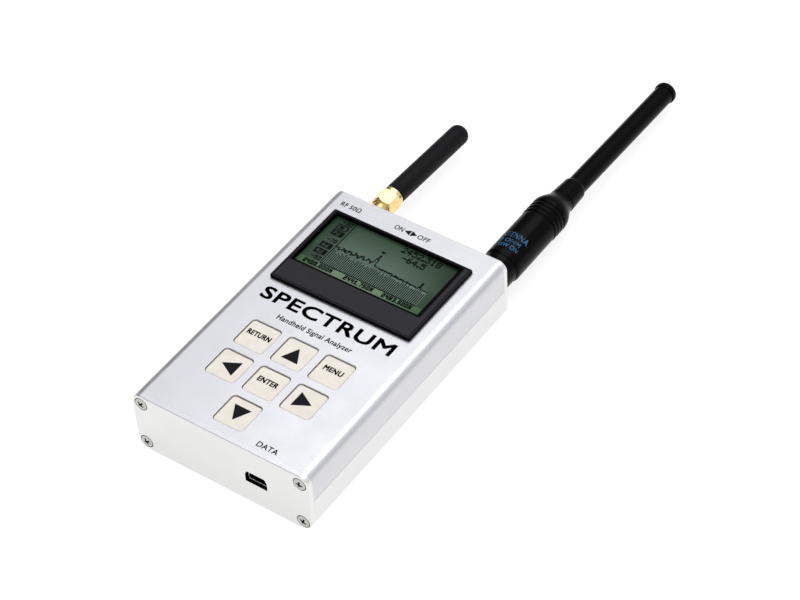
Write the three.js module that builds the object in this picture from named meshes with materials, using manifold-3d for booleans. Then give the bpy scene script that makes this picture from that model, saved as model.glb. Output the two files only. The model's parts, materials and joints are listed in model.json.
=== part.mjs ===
// Handheld spectrum analyzer with two screw-on antennas.
// Millimetres, +Z up. The case lies on its back: X runs across it, +Y towards the antennas,
// and the origin is the middle of the flat back face.
import * as THREE from "three";
import { mergeVertices } from "three/addons/utils/BufferGeometryUtils.js";
import Module from "manifold-3d";

const wasm = await Module();
wasm.setup();

// ---- driving dimensions -------------------------------------------------------------

const CASE = { halfWidth: 35, halfLength: 56.5, height: 25, wall: 1.6, topRadius: 3.5, backRadius: 5 };
const PLATE_THICKNESS = 2;
const SEAM_HEIGHT = 13.3;
const FIT = 0.2; // gap between fixed neighbours
const SLACK = 0.3; // gap round loose and turned pieces

const SCREW = { x: 31.5, upperZ: 21.3, lowerZ: 3.5, shankRadius: 1.2, headRadius: 2.25, length: 9.5 };
const SCREW_HEAD = { cone: 1.25, dome: 0.35 };
const RECESS = { depth: 0.9, halfLength: 1.25, halfWidth: 0.3 };
const PORT_RADIUS = 2.8;

const BEZEL = { x: [-28.5, 27.9], y: [9.2, 46.8], top: 26.4, cornerRadius: 1.4 };
const BEZEL_NECK = { x: [-27.95, 27.35], y: [9.75, 46.5], bottom: 22.6 };
const DISPLAY_OPENING = { x: [-26.75, 24.8], y: [19.4, 45.6] };
const LCD = { x: [-27.15, 25.15], y: [18.75, 45.85], top: 24.8, thickness: 1.9 };
const BACKLIGHT_TOP = 22.7;

const KEY = {
  centre: [-0.6, -30.1],
  pitch: [14.9, 15.2],
  hole: [12.0, 12.2],
  top: 24.6,
  gap: 0.22,
  radius: 1.5,
};
const KEY_FLANGE = { margin: 0.8, z: [22.3, 23.1] };
const KEY_STEM = { half: 2, bottom: 21.6 };
const KEY_GRID = [
  ["key_return", -1, 1],
  ["key_up", 0, 1],
  ["key_menu", 1, 1],
  ["key_left", -1, 0],
  ["key_enter", 0, 0],
  ["key_right", 1, 0],
  ["key_down", 0, -1],
];

const BOARD = { x: 33, y: [-53.5, 51.9], top: 9.7, thickness: 1.6 };
const KEY_BOARD = { x: 28.4, y: [-52, 48], top: 19, thickness: 1.6 };
const SWITCH = { half: 3, bodyTop: 20.5, top: 21, buttonRadius: 1.7, buttonHeight: 0.8 };
const SPACER = { radius: 2.3, x: 26, y: [-47, 10] };
const SHIELD = { inner: 9.5, outer: 31, y: [20, 46], top: 13.2 };
const HEADER = { half: 16, y: [-8.5, -6] };

const BATTERY = { x: [-24, 26], y: [-40, 30], top: 6.9 };
const LEAD = { x: -21, radius: 0.9 };
const PLUG = { half: 3.5, y: [-41, -35.5], top: 13.6 };

const JACK = { leftX: -25.5, rightX: 25.8, z: 10.4, radius: 3.1, end: 72.9, flangeRadius: 4.2 };
const JACK_BACK = { pin: 49.6, flange: 52.4, pinRadius: 0.4, socketRadius: 2.3, socketDepth: 3.4 };
const HEX_CORNER_RADIUS = 4.62; // 8 mm across flats
const NUT_TURN = 42; // degrees from +X to the first corner

const SLIDER = { centre: 0.3, z: 12.1, travel: 3.7, knobWidth: 3, baseWidth: 4.6, end: 58.4 };
const SOCKET = { x: 13.7, z: 12, width: 7.6, height: 3.9, front: -55.5, back: -48.3 };

const COUPLING = { start: 68.4, hexEnd: 74.9, end: 76.3, collarRadius: 4.1, threadEnd: 74.5 };
const WHIP = { start: 76.6, end: 120.4, radius: 3.85, droop: 3.9, stemRadius: 2.3, dome: 3.2 };
const WHIP_GROOVES = [112.1, 115];
const GROOVE = { depth: 0.2, width: 0.5 };

const BASE = { start: 66.2, end: 105, radius: 6.95, bore: 4.7, boreEnd: 77 };
const COLLAR = { start: 60.2, radius: 6.45 };
const RIBS = { first: 89.7, pitch: 1.95, count: 4, depth: 0.5, crest: 7.1 };
const SHOULDER = { start: 96.9, end: 103.4, waist: 4.4 };
const TUBE = { pivotY: 92, droop: 1.86, radius: 3.7, bore: 3.15, start: 107.5, end: 175 };
const NECK = { start: 105.4, end: 114.6, radius: 4.8, tip: 4.15, taper: 0.3 };
const SPIGOT = { start: 97, radius: 2.1, bore: 2.9 };
const TIP = { start: 175.3, rim: 177, end: 178.6, radius: 4.15 };
const TIP_HOLE = 1; // how far the innermost section reaches into the tip cap
const SECTION_RADII = [
  [2.85, 2.5],
  [2.25, 1.9],
  [1.65, 1.3],
  [1.05, 0],
];
const SECTION = { start: 110, end: 174.7, step: 0.4 };

const ROUND = 24; // sides on the larger round pieces
const SMALL_ROUND = 16; // sides on the smaller ones

// ---- materials ----------------------------------------------------------------------

const finish = (color, roughness, metalness) => () =>
  new THREE.MeshStandardMaterial({ color, roughness, metalness });

const anodised = finish(0xdfdfea, 0.45, 0.9);
const nickel = finish(0xb9b9b4, 0.3, 1);
const blackPlastic = finish(0x35323c, 0.35, 0);
const keyPlastic = finish(0xf0ebe2, 0.5, 0);
const lcdGlass = finish(0x5f7d66, 0.2, 0);
const lightGuide = finish(0xe8eee4, 0.4, 0);
const boardGreen = finish(0x1f5a35, 0.5, 0);
const switchBlack = finish(0x202022, 0.5, 0);
const tinned = finish(0xc9cac6, 0.35, 1);
const gold = finish(0xe3bd62, 0.25, 1);
const cellWrap = finish(0x9aa3ab, 0.5, 0.2);
const wireRed = finish(0xb02020, 0.5, 0);
const plugWhite = finish(0xeeeade, 0.5, 0);
const whipRubber = finish(0x1c1b1c, 0.7, 0);
const glossBlack = finish(0x17161a, 0.2, 0);
const chromed = finish(0xd4d4d6, 0.1, 1);

// ---- solids -------------------------------------------------------------------------

// A closed three.js geometry as a solid that can be cut and joined.
function solid(geometry) {
  geometry.deleteAttribute("normal");
  geometry.deleteAttribute("uv");
  const merged = mergeVertices(geometry, 1e-4);
  return new wasm.Manifold(
    new wasm.Mesh({
      numProp: 3,
      vertProperties: merged.attributes.position.array,
      triVerts: new Uint32Array(merged.index.array),
    }),
  );
}

function block([x0, x1], [y0, y1], [z0, z1]) {
  const geometry = new THREE.BoxGeometry(x1 - x0, y1 - y0, z1 - z0);
  return solid(geometry.translate((x0 + x1) / 2, (y0 + y1) / 2, (z0 + z1) / 2));
}

const around = (centre, half) => [centre - half, centre + half];
const grow = ([low, high], by) => [low - by, high + by];

// A round piece turned about the Y direction through (x, z); profile points are [radius, y].
function turned(profile, x, z, sides = ROUND) {
  const points = profile.map(([radius, y]) => new THREE.Vector2(radius, y));
  return solid(new THREE.LatheGeometry(points, sides).translate(x, 0, z));
}

const rod = (radius, y0, y1, x, z, sides = SMALL_ROUND) =>
  turned([[0, y0], [radius, y0], [radius, y1], [0, y1]], x, z, sides);

// A hexagonal bar along Y with a corner at the given angle from +X towards +Z.
function hexBar(cornerRadius, y0, y1, x, z, degrees) {
  const geometry = new THREE.CylinderGeometry(cornerRadius, cornerRadius, y1 - y0, 6);
  geometry.rotateY(Math.PI / 2 - THREE.MathUtils.degToRad(degrees));
  return solid(geometry.translate(x, (y0 + y1) / 2, z));
}

// A flat outline, drawn as (x, z), made into a bar from y0 to y1.
function barAlongY(shape, y0, y1) {
  const geometry = new THREE.ExtrudeGeometry(shape, {
    depth: y1 - y0,
    bevelEnabled: false,
    curveSegments: 6,
  });
  return solid(geometry.rotateX(Math.PI / 2).translate(0, y1, 0));
}

// A flat outline, drawn as (x, y), made into a plate from z0 to z1.
function plateAlongZ(shape, z0, z1) {
  const geometry = new THREE.ExtrudeGeometry(shape, {
    depth: z1 - z0,
    bevelEnabled: false,
    curveSegments: 4,
  });
  return solid(geometry.translate(0, 0, z0));
}

// A rectangle with its lower and upper corners rounded.
function roundedRectangle([x0, x1], [y0, y1], lowRadius, highRadius = lowRadius) {
  const shape = new THREE.Shape();
  shape.moveTo(x0 + lowRadius, y0);
  shape.lineTo(x1 - lowRadius, y0);
  shape.absarc(x1 - lowRadius, y0 + lowRadius, lowRadius, -Math.PI / 2, 0);
  shape.lineTo(x1, y1 - highRadius);
  shape.absarc(x1 - highRadius, y1 - highRadius, highRadius, 0, Math.PI / 2);
  shape.lineTo(x0 + highRadius, y1);
  shape.absarc(x0 + highRadius, y1 - highRadius, highRadius, Math.PI / 2, Math.PI);
  shape.lineTo(x0, y0 + lowRadius);
  shape.absarc(x0 + lowRadius, y0 + lowRadius, lowRadius, Math.PI, 1.5 * Math.PI);
  return shape;
}

// ---- scene graph --------------------------------------------------------------------

const analyzer = new THREE.Group();

function add(name, shape, material, group = analyzer) {
  const { vertProperties, triVerts } = shape.getMesh();
  const geometry = new THREE.BufferGeometry();
  geometry.setAttribute("position", new THREE.BufferAttribute(vertProperties, 3));
  geometry.setIndex(new THREE.BufferAttribute(triVerts, 1));
  geometry.computeVertexNormals();
  const mesh = new THREE.Mesh(geometry, material());
  mesh.name = name;
  group.add(mesh);
}

// A group whose pieces are drawn about the Y direction and then dip towards the back by an angle.
function droopingGroup(x, y, z, degrees) {
  const group = new THREE.Group();
  group.position.set(x, y, z);
  group.rotation.x = -THREE.MathUtils.degToRad(degrees);
  analyzer.add(group);
  return group;
}

// ---- case ---------------------------------------------------------------------------

const { halfWidth, halfLength, height, wall } = CASE;
const innerLength = halfLength - PLATE_THICKNESS - FIT;
const innerHalfWidth = halfWidth - wall;

const outline = roundedRectangle(around(0, halfWidth), [0, height], CASE.backRadius, CASE.topRadius);
const hollow = roundedRectangle(
  around(0, innerHalfWidth),
  [wall, height - wall],
  CASE.backRadius - wall,
  CASE.topRadius - wall,
);

function tube() {
  const outer = barAlongY(outline, -innerLength, innerLength);
  return outer.subtract(barAlongY(hollow, -innerLength - 1, innerLength + 1));
}

// The round screw ports that run the length of a shell, bored at both ends.
function withPorts(shell, z) {
  let result = shell;
  for (const x of [-SCREW.x, SCREW.x]) {
    result = result.add(rod(PORT_RADIUS, -innerLength, innerLength, x, z));
    result = result.subtract(rod(SCREW.shankRadius + SLACK, -innerLength - 1, innerLength + 1, x, z));
  }
  return result;
}

const keyCentre = (column, row) => [
  KEY.centre[0] + column * KEY.pitch[0],
  KEY.centre[1] + row * KEY.pitch[1],
];

function keyOutline(column, row, margin, radius) {
  const [x, y] = keyCentre(column, row);
  return roundedRectangle(
    around(x, KEY.hole[0] / 2 + margin),
    around(y, KEY.hole[1] / 2 + margin),
    radius,
  );
}

function upperShell() {
  const above = block(around(0, halfWidth + 1), around(0, halfLength), [SEAM_HEIGHT + FIT, height + 1]);
  let shell = withPorts(tube().intersect(above), SCREW.upperZ);
  shell = shell.subtract(
    block(grow(BEZEL_NECK.x, FIT), grow(BEZEL_NECK.y, FIT / 2), [height - wall - 1, height + 1]),
  );
  for (const [, column, row] of KEY_GRID) {
    const hole = keyOutline(column, row, 0, KEY.radius);
    shell = shell.subtract(plateAlongZ(hole, height - wall - 1, height + 1));
  }
  return shell;
}

function lowerShell() {
  const lipWidth = 0.9;
  const lipHeight = 1.5;
  const lipRoot = 1.3;
  const railDepth = 1.8;
  const railHeight = 1;
  const boardBottom = BOARD.top - BOARD.thickness;
  const rails = [
    [boardBottom - FIT - railHeight, boardBottom - FIT],
    [BOARD.top + FIT, BOARD.top + FIT + railHeight],
  ];
  const below = block(around(0, halfWidth + 1), around(0, halfLength), [-1, SEAM_HEIGHT]);
  let shell = withPorts(tube().intersect(below), SCREW.lowerZ);
  for (const side of [-1, 1]) {
    const strip = (from, to) => [side * from, side * to].sort((a, b) => a - b);
    const lipOuter = innerHalfWidth - FIT;
    const lipX = strip(lipOuter - lipWidth, lipOuter);
    const length = around(0, innerLength);
    shell = shell.add(block(lipX, length, [SEAM_HEIGHT - lipRoot, SEAM_HEIGHT + lipHeight]));
    const rootX = strip(lipOuter - lipWidth, innerHalfWidth + FIT);
    shell = shell.add(block(rootX, length, [SEAM_HEIGHT - lipRoot, SEAM_HEIGHT]));
    for (const [low, high] of rails) {
      const railX = strip(innerHalfWidth - railDepth, innerHalfWidth + FIT);
      shell = shell.add(block(railX, length, [low, high]));
    }
  }
  return shell;
}

add("upper_shell", upperShell(), anodised);
add("lower_shell", lowerShell(), anodised);

// ---- end plates and their screws ----------------------------------------------------

const screwPlaces = [
  [-SCREW.x, SCREW.upperZ],
  [SCREW.x, SCREW.upperZ],
  [-SCREW.x, SCREW.lowerZ],
  [SCREW.x, SCREW.lowerZ],
];

// An end plate at the -Y (end = -1) or +Y (end = 1) end, countersunk for its four screws.
function endPlate(end) {
  const face = end * halfLength;
  const [y0, y1] = [face, face - end * PLATE_THICKNESS].sort((a, b) => a - b);
  let plate = barAlongY(outline, y0, y1);
  const clear = SCREW.shankRadius + SLACK;
  const mouth = SCREW.headRadius + FIT;
  for (const [x, z] of screwPlaces) {
    const profile = [
      [0, face + end],
      [mouth, face + end],
      [mouth, face],
      [clear, face - end * (SCREW_HEAD.cone + 0.05)],
      [clear, face - end * (PLATE_THICKNESS + 1)],
      [0, face - end * (PLATE_THICKNESS + 1)],
    ];
    plate = plate.subtract(turned(end < 0 ? profile : profile.reverse(), x, z, SMALL_ROUND));
  }
  return plate;
}

// A cross-recess countersunk screw with its head at an end plate's face.
function endScrew(end, x, z) {
  const face = end * halfLength;
  const at = (depth) => face - end * depth;
  const { cone, dome } = SCREW_HEAD;
  const profile = [
    [0, at(-dome)],
    [SCREW.headRadius / 2, at(-0.8 * dome)],
    [SCREW.headRadius, at(0)],
    [SCREW.shankRadius, at(cone)],
    [SCREW.shankRadius, at(SCREW.length)],
    [0, at(SCREW.length)],
  ];
  let screw = turned(end < 0 ? profile : profile.reverse(), x, z, SMALL_ROUND);
  const recessY = [at(-1), at(RECESS.depth)].sort((a, b) => a - b);
  screw = screw.subtract(block(around(x, RECESS.halfLength), recessY, around(z, RECESS.halfWidth)));
  return screw.subtract(block(around(x, RECESS.halfWidth), recessY, around(z, RECESS.halfLength)));
}

function socketOutline(margin) {
  const cornerCut = 0.8;
  const [x0, x1] = around(SOCKET.x, SOCKET.width / 2 + margin);
  const [z0, z1] = around(SOCKET.z, SOCKET.height / 2 + margin);
  const shape = new THREE.Shape();
  shape.moveTo(x0, z0);
  shape.lineTo(x1, z0);
  shape.lineTo(x1, z1 - 2 * cornerCut);
  shape.lineTo(x1 - cornerCut, z1);
  shape.lineTo(x0 + cornerCut, z1);
  shape.lineTo(x0, z1 - 2 * cornerCut);
  return shape;
}

const socketWindow = barAlongY(socketOutline(0.5), -halfLength - 1, -innerLength);
add("near_end_plate", endPlate(-1).subtract(socketWindow), anodised);

const knobRest = SLIDER.centre - SLIDER.travel / 2;
const slotHalf = (SLIDER.knobWidth + SLIDER.travel) / 2 + 0.45;
let farPlate = endPlate(1).subtract(
  block(around(SLIDER.centre, slotHalf), [innerLength, halfLength + 1], around(SLIDER.z, 1.6)),
);
for (const x of [JACK.leftX, JACK.rightX]) {
  farPlate = farPlate.subtract(
    rod(JACK.radius + SLACK, innerLength, halfLength + 1, x, JACK.z, ROUND),
  );
}
add("far_end_plate", farPlate, anodised);

screwPlaces.forEach(([x, z], i) => {
  add(`near_screw_${i + 1}`, endScrew(-1, x, z), nickel);
  add(`far_screw_${i + 1}`, endScrew(1, x, z), nickel);
});

// ---- display ------------------------------------------------------------------------

function displayBezel() {
  const head = plateAlongZ(roundedRectangle(BEZEL.x, BEZEL.y, BEZEL.cornerRadius), height, BEZEL.top);
  const neck = block(BEZEL_NECK.x, BEZEL_NECK.y, [BEZEL_NECK.bottom, height + FIT]);
  const pocketTop = LCD.top + FIT / 2;
  const pocket = block(grow(LCD.x, FIT), grow(LCD.y, FIT), [BEZEL_NECK.bottom - 1, pocketTop]);
  const opening = block(DISPLAY_OPENING.x, DISPLAY_OPENING.y, [BEZEL_NECK.bottom, BEZEL.top + 1]);
  return head.add(neck).subtract(pocket).subtract(opening);
}

add("display_bezel", displayBezel(), blackPlastic);
add("lcd_panel", block(LCD.x, LCD.y, [LCD.top - LCD.thickness, LCD.top]), lcdGlass);
add("lcd_backlight", block(LCD.x, LCD.y, [KEY_BOARD.top + SLACK, BACKLIGHT_TOP]), lightGuide);

// ---- keys and their switches --------------------------------------------------------

function keyCap(column, row) {
  const [x, y] = keyCentre(column, row);
  const capOutline = keyOutline(column, row, -KEY.gap, KEY.radius - KEY.gap);
  const cap = plateAlongZ(capOutline, KEY_FLANGE.z[0], KEY.top);
  const flange = plateAlongZ(keyOutline(column, row, KEY_FLANGE.margin, KEY.radius), ...KEY_FLANGE.z);
  const stem = block(
    around(x, KEY_STEM.half),
    around(y, KEY_STEM.half),
    [KEY_STEM.bottom, KEY_FLANGE.z[1]],
  );
  return cap.add(flange).add(stem);
}

function tactileSwitch(column, row) {
  const [x, y] = keyCentre(column, row);
  const { half, bodyTop, top, buttonRadius, buttonHeight } = SWITCH;
  const body = block(around(x, half), around(y, half), [KEY_BOARD.top + FIT, bodyTop]);
  const button = new THREE.CylinderGeometry(buttonRadius, buttonRadius, buttonHeight, SMALL_ROUND);
  button.rotateX(Math.PI / 2);
  return body.add(solid(button.translate(x, y, top - buttonHeight / 2)));
}

for (const [name, column, row] of KEY_GRID) {
  add(name, keyCap(column, row), keyPlastic);
  add(name.replace("key", "switch"), tactileSwitch(column, row), switchBlack);
}

// ---- boards and what they carry -----------------------------------------------------

const keyBoardZ = [KEY_BOARD.top - KEY_BOARD.thickness, KEY_BOARD.top];
add("key_board", block(around(0, KEY_BOARD.x), KEY_BOARD.y, keyBoardZ), boardGreen);

const leadNotch = block(around(LEAD.x, 2.5), [BOARD.y[0] - 1, -45.5], [0, BOARD.top + 1]);
const mainBoard = block(around(0, BOARD.x), BOARD.y, [BOARD.top - BOARD.thickness, BOARD.top]);
add("main_board", mainBoard.subtract(leadNotch), boardGreen);

const onBoard = BOARD.top + FIT;
const spacerTop = keyBoardZ[0] - FIT;
const spacerPlaces = SPACER.y.flatMap((y) => [
  [-SPACER.x, y],
  [SPACER.x, y],
]);
spacerPlaces.forEach(([x, y], i) => {
  const bar = new THREE.CylinderGeometry(SPACER.radius, SPACER.radius, spacerTop - onBoard, 6);
  bar.rotateX(Math.PI / 2).translate(x, y, (onBoard + spacerTop) / 2);
  add(`board_spacer_${i + 1}`, solid(bar), nickel);
});

const shieldZ = [onBoard, SHIELD.top];
add("rf_shield_left", block([-SHIELD.outer, -SHIELD.inner], SHIELD.y, shieldZ), tinned);
add("rf_shield_right", block([SHIELD.inner, SHIELD.outer], SHIELD.y, shieldZ), tinned);
add("board_header", block(around(0, HEADER.half), HEADER.y, [onBoard, spacerTop]), switchBlack);

function dataSocket() {
  const sheet = 0.35;
  const tongueY = [SOCKET.front + 1, SOCKET.back];
  const shell = barAlongY(socketOutline(0), SOCKET.front, SOCKET.back);
  const mouth = barAlongY(socketOutline(-sheet), SOCKET.front - 1, SOCKET.back - 1);
  const tongue = block(around(SOCKET.x, 2.3), tongueY, around(SOCKET.z, 0.45));
  return shell.subtract(mouth).add(tongue);
}

add("data_socket", dataSocket(), tinned);

// ---- battery ------------------------------------------------------------------------

add("battery_pack", block(BATTERY.x, BATTERY.y, [wall + 2 * FIT, BATTERY.top]), cellWrap);
add("battery_plug", block(around(LEAD.x, PLUG.half), PLUG.y, [onBoard, PLUG.top]), plugWhite);

function batteryLead() {
  const route = new THREE.CatmullRomCurve3(
    [
      [-40.4, 4.5],
      [-44.5, 4.6],
      [-48.2, 7],
      [-48.2, 10],
      [-45, 11.7],
      [-41.4, 11.8],
    ].map(([y, z]) => new THREE.Vector3(LEAD.x, y, z)),
  );
  const section = new THREE.Shape().absarc(0, 0, LEAD.radius, 0, 2 * Math.PI);
  return solid(
    new THREE.ExtrudeGeometry(section, { steps: 16, curveSegments: 4, extrudePath: route }),
  );
}

add("battery_lead", batteryLead(), wireRed);

// ---- power switch -------------------------------------------------------------------

function powerSwitchBody() {
  const half = SLIDER.baseWidth / 2 + SLIDER.travel / 2;
  const can = block(around(SLIDER.centre, half + 1.5), [49.4, 54], [onBoard, 14.3]);
  return can.subtract(
    block(around(SLIDER.centre, half + 0.25), [51.4, 55], around(SLIDER.z, 1.2)),
  );
}

function powerSwitchSlider() {
  const base = block(around(knobRest, SLIDER.baseWidth / 2), [51.7, 53.8], around(SLIDER.z, 0.95));
  const knob = block(around(knobRest, SLIDER.knobWidth / 2), [53, SLIDER.end], around(SLIDER.z, 1.1));
  return base.add(knob);
}

add("power_switch_body", powerSwitchBody(), tinned);
add("power_switch_slider", powerSwitchSlider(), switchBlack);

// ---- antenna jacks ------------------------------------------------------------------

function antennaJack(x) {
  const { pin, flange, pinRadius, socketRadius, socketDepth } = JACK_BACK;
  const profile = [
    [0, pin],
    [pinRadius, pin],
    [pinRadius, flange],
    [JACK.flangeRadius, flange],
    [JACK.flangeRadius, innerLength - FIT],
    [JACK.radius, innerLength - FIT],
    [JACK.radius, JACK.end],
    [socketRadius, JACK.end],
    [socketRadius, JACK.end - socketDepth],
    [0, JACK.end - socketDepth],
  ];
  return turned(profile, x, JACK.z);
}

function jackNut(x) {
  const washerRadius = 4.9;
  const washerThickness = 0.6;
  const nutThickness = 2.8;
  const start = halfLength + FIT;
  const end = start + nutThickness;
  const washer = rod(washerRadius, start, start + washerThickness, x, JACK.z, ROUND);
  const nut = hexBar(HEX_CORNER_RADIUS, start + washerThickness / 2, end, x, JACK.z, NUT_TURN);
  return washer.add(nut).subtract(rod(JACK.radius + SLACK, start - 1, end + 1, x, JACK.z, ROUND));
}

for (const [side, x] of [["left", JACK.leftX], ["right", JACK.rightX]]) {
  add(`${side}_antenna_jack`, antennaJack(x), gold);
  add(`${side}_jack_nut`, jackNut(x), gold);
}

// ---- left antenna: short rubber whip ------------------------------------------------

// A hex nut with turned-down corners, a round collar at its far end, and a bore that steps down.
function couplingNut() {
  const { start, hexEnd, end, collarRadius, threadEnd } = COUPLING;
  const chamfer = 0.6;
  const lathed = turned(
    [
      [0, start],
      [HEX_CORNER_RADIUS - chamfer, start],
      [HEX_CORNER_RADIUS, start + chamfer],
      [HEX_CORNER_RADIUS, hexEnd - chamfer],
      [HEX_CORNER_RADIUS - chamfer, hexEnd],
      [0, hexEnd],
    ],
    JACK.leftX,
    JACK.z,
  );
  const bore = JACK.radius + SLACK;
  const lip = 0.4;
  return hexBar(HEX_CORNER_RADIUS, start, hexEnd, JACK.leftX, JACK.z, NUT_TURN)
    .intersect(lathed)
    .add(rod(collarRadius, hexEnd - 1, end, JACK.leftX, JACK.z, ROUND))
    .subtract(rod(bore, start - 1, threadEnd, JACK.leftX, JACK.z, ROUND))
    .subtract(rod(bore - lip, start, end + 1, JACK.leftX, JACK.z, ROUND));
}

add("left_coupling_nut", couplingNut(), gold);

// Pieces of a drooping group are drawn from its pivot, so a case length becomes one from there.
const pivotY = COUPLING.end;
const fromWhipPivot = (y) => y - pivotY;

function rubberWhip() {
  const domeSteps = 5;
  const stemLength = 3;
  const start = fromWhipPivot(WHIP.start);
  const end = fromWhipPivot(WHIP.end);
  const profile = [
    [0, -stemLength],
    [WHIP.stemRadius, -stemLength],
    [WHIP.stemRadius, start],
    [WHIP.radius, start],
  ];
  for (const groove of WHIP_GROOVES.map(fromWhipPivot)) {
    profile.push([WHIP.radius, groove - GROOVE.width]);
    profile.push([WHIP.radius - GROOVE.depth, groove]);
    profile.push([WHIP.radius, groove + GROOVE.width]);
  }
  for (let i = 0; i <= domeSteps; i++) {
    const angle = (i / domeSteps) * (Math.PI / 2);
    const radius = i === domeSteps ? 0 : WHIP.radius * Math.cos(angle);
    profile.push([radius, end - WHIP.dome * (1 - Math.sin(angle))]);
  }
  return turned(profile, 0, 0);
}

const whipGroup = droopingGroup(JACK.leftX, pivotY, JACK.z, WHIP.droop);
add("left_whip", rubberWhip(), whipRubber, whipGroup);

// ---- right antenna: ribbed base, neck and telescopic whip ---------------------------

function antennaBase() {
  const rim = 0.6;
  const profile = [
    [0, COLLAR.start],
    [COLLAR.radius, COLLAR.start],
    [COLLAR.radius, BASE.start],
    [BASE.radius, BASE.start + rim],
  ];
  for (let i = 0; i < RIBS.count; i++) {
    const y = RIBS.first + i * RIBS.pitch;
    const ahead = i === 0 ? BASE.radius : RIBS.crest;
    profile.push([ahead, y - RIBS.pitch / 3]);
    profile.push([RIBS.crest - RIBS.depth, y - RIBS.pitch / 6]);
    profile.push([RIBS.crest - RIBS.depth, y + RIBS.pitch / 6]);
    profile.push([RIBS.crest, y + RIBS.pitch / 3]);
  }
  // The shoulder falls in a smooth S from the last rib to the waist below the neck.
  const shoulderSteps = 6;
  for (let i = 0; i <= shoulderSteps; i++) {
    const along = i / shoulderSteps;
    const fall = (1 - Math.cos(along * Math.PI)) / 2;
    const y = SHOULDER.start + (SHOULDER.end - SHOULDER.start) * along;
    profile.push([RIBS.crest + (SHOULDER.waist - RIBS.crest) * fall, y]);
  }
  profile.push([SHOULDER.waist, BASE.end], [0, BASE.end]);
  return turned(profile, JACK.rightX, JACK.z)
    .subtract(rod(BASE.bore, COLLAR.start - 1, BASE.boreEnd, JACK.rightX, JACK.z, ROUND))
    .subtract(rod(SPIGOT.bore, SPIGOT.start - 1, BASE.end + 1, JACK.rightX, JACK.z));
}

function antennaConnector() {
  const start = COLLAR.start + SLACK;
  const end = BASE.boreEnd - SLACK;
  return rod(BASE.bore - SLACK, start, end, JACK.rightX, JACK.z, ROUND).subtract(
    rod(JACK.radius + SLACK, start - 1, JACK.end + SLACK, JACK.rightX, JACK.z, ROUND),
  );
}

add("right_antenna_base", antennaBase(), glossBlack);
add("right_antenna_connector", antennaConnector(), gold);

const tubeGroup = droopingGroup(JACK.rightX, TUBE.pivotY, JACK.z, TUBE.droop);
const fromTubePivot = (y) => y - TUBE.pivotY;
const turnedOnTube = (profile) =>
  turned(
    profile.map(([radius, y]) => [radius, fromTubePivot(y)]),
    0,
    0,
    ROUND,
  );

// A straight pipe on the whip's axis.
const pipe = (outer, inner, start, end) =>
  turnedOnTube([[inner, start], [outer, start], [outer, end], [inner, end], [inner, start]]);

// The neck narrows a little along its length, and its far end is rounded over onto the tube.
function antennaNeck() {
  const endRound = 1.2;
  const bore = TUBE.radius + FIT;
  const boreStart = TUBE.start - SLACK;
  const body = turnedOnTube([
    [0, SPIGOT.start],
    [SPIGOT.radius, SPIGOT.start],
    [SPIGOT.radius, NECK.start],
    [NECK.radius, NECK.start],
    [NECK.radius - NECK.taper, NECK.end - endRound],
    [NECK.tip, NECK.end],
    [0, NECK.end],
  ]);
  return body.subtract(
    turnedOnTube([
      [0, boreStart],
      [bore, boreStart],
      [bore, NECK.end + 1],
      [0, NECK.end + 1],
    ]),
  );
}

add("right_antenna_neck", antennaNeck(), glossBlack, tubeGroup);
add("right_antenna_sleeve", pipe(TUBE.radius, TUBE.bore, TUBE.start, TUBE.end), glossBlack, tubeGroup);

SECTION_RADII.forEach(([outer, inner], i) => {
  const start = SECTION.start + i * SECTION.step;
  const isRod = inner === 0;
  const rodEnd = TIP.start + TIP_HOLE;
  const shape = isRod
    ? turnedOnTube([[0, start], [outer, start], [outer, rodEnd], [0, rodEnd]])
    : pipe(outer, inner, start, SECTION.end);
  add(`whip_section_${i + 1}`, shape, chromed, tubeGroup);
});

function tipCap() {
  const [rodRadius] = SECTION_RADII[SECTION_RADII.length - 1];
  const edge = 0.2;
  const cap = turnedOnTube([
    [0, TIP.start],
    [TIP.radius - edge, TIP.start],
    [TIP.radius, TIP.start + edge],
    [TIP.radius, TIP.rim],
    [0.88 * TIP.radius, (TIP.rim + TIP.end) / 2],
    [0.6 * TIP.radius, TIP.end - edge],
    [0, TIP.end],
  ]);
  return cap.subtract(
    turnedOnTube([
      [0, TIP.start - 1],
      [rodRadius + SLACK, TIP.start - 1],
      [rodRadius + SLACK, TIP.start + TIP_HOLE + SLACK],
      [0, TIP.start + TIP_HOLE + SLACK],
    ]),
  );
}

add("whip_tip_cap", tipCap(), glossBlack, tubeGroup);

export default analyzer;
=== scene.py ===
"""Looks of the handheld spectrum analyzer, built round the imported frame.

Lengths are millimetres in the frame's axes until a mesh is made, which is in metres.
"""

import json
import math

import bmesh
import bpy
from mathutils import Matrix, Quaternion, Vector


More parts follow.
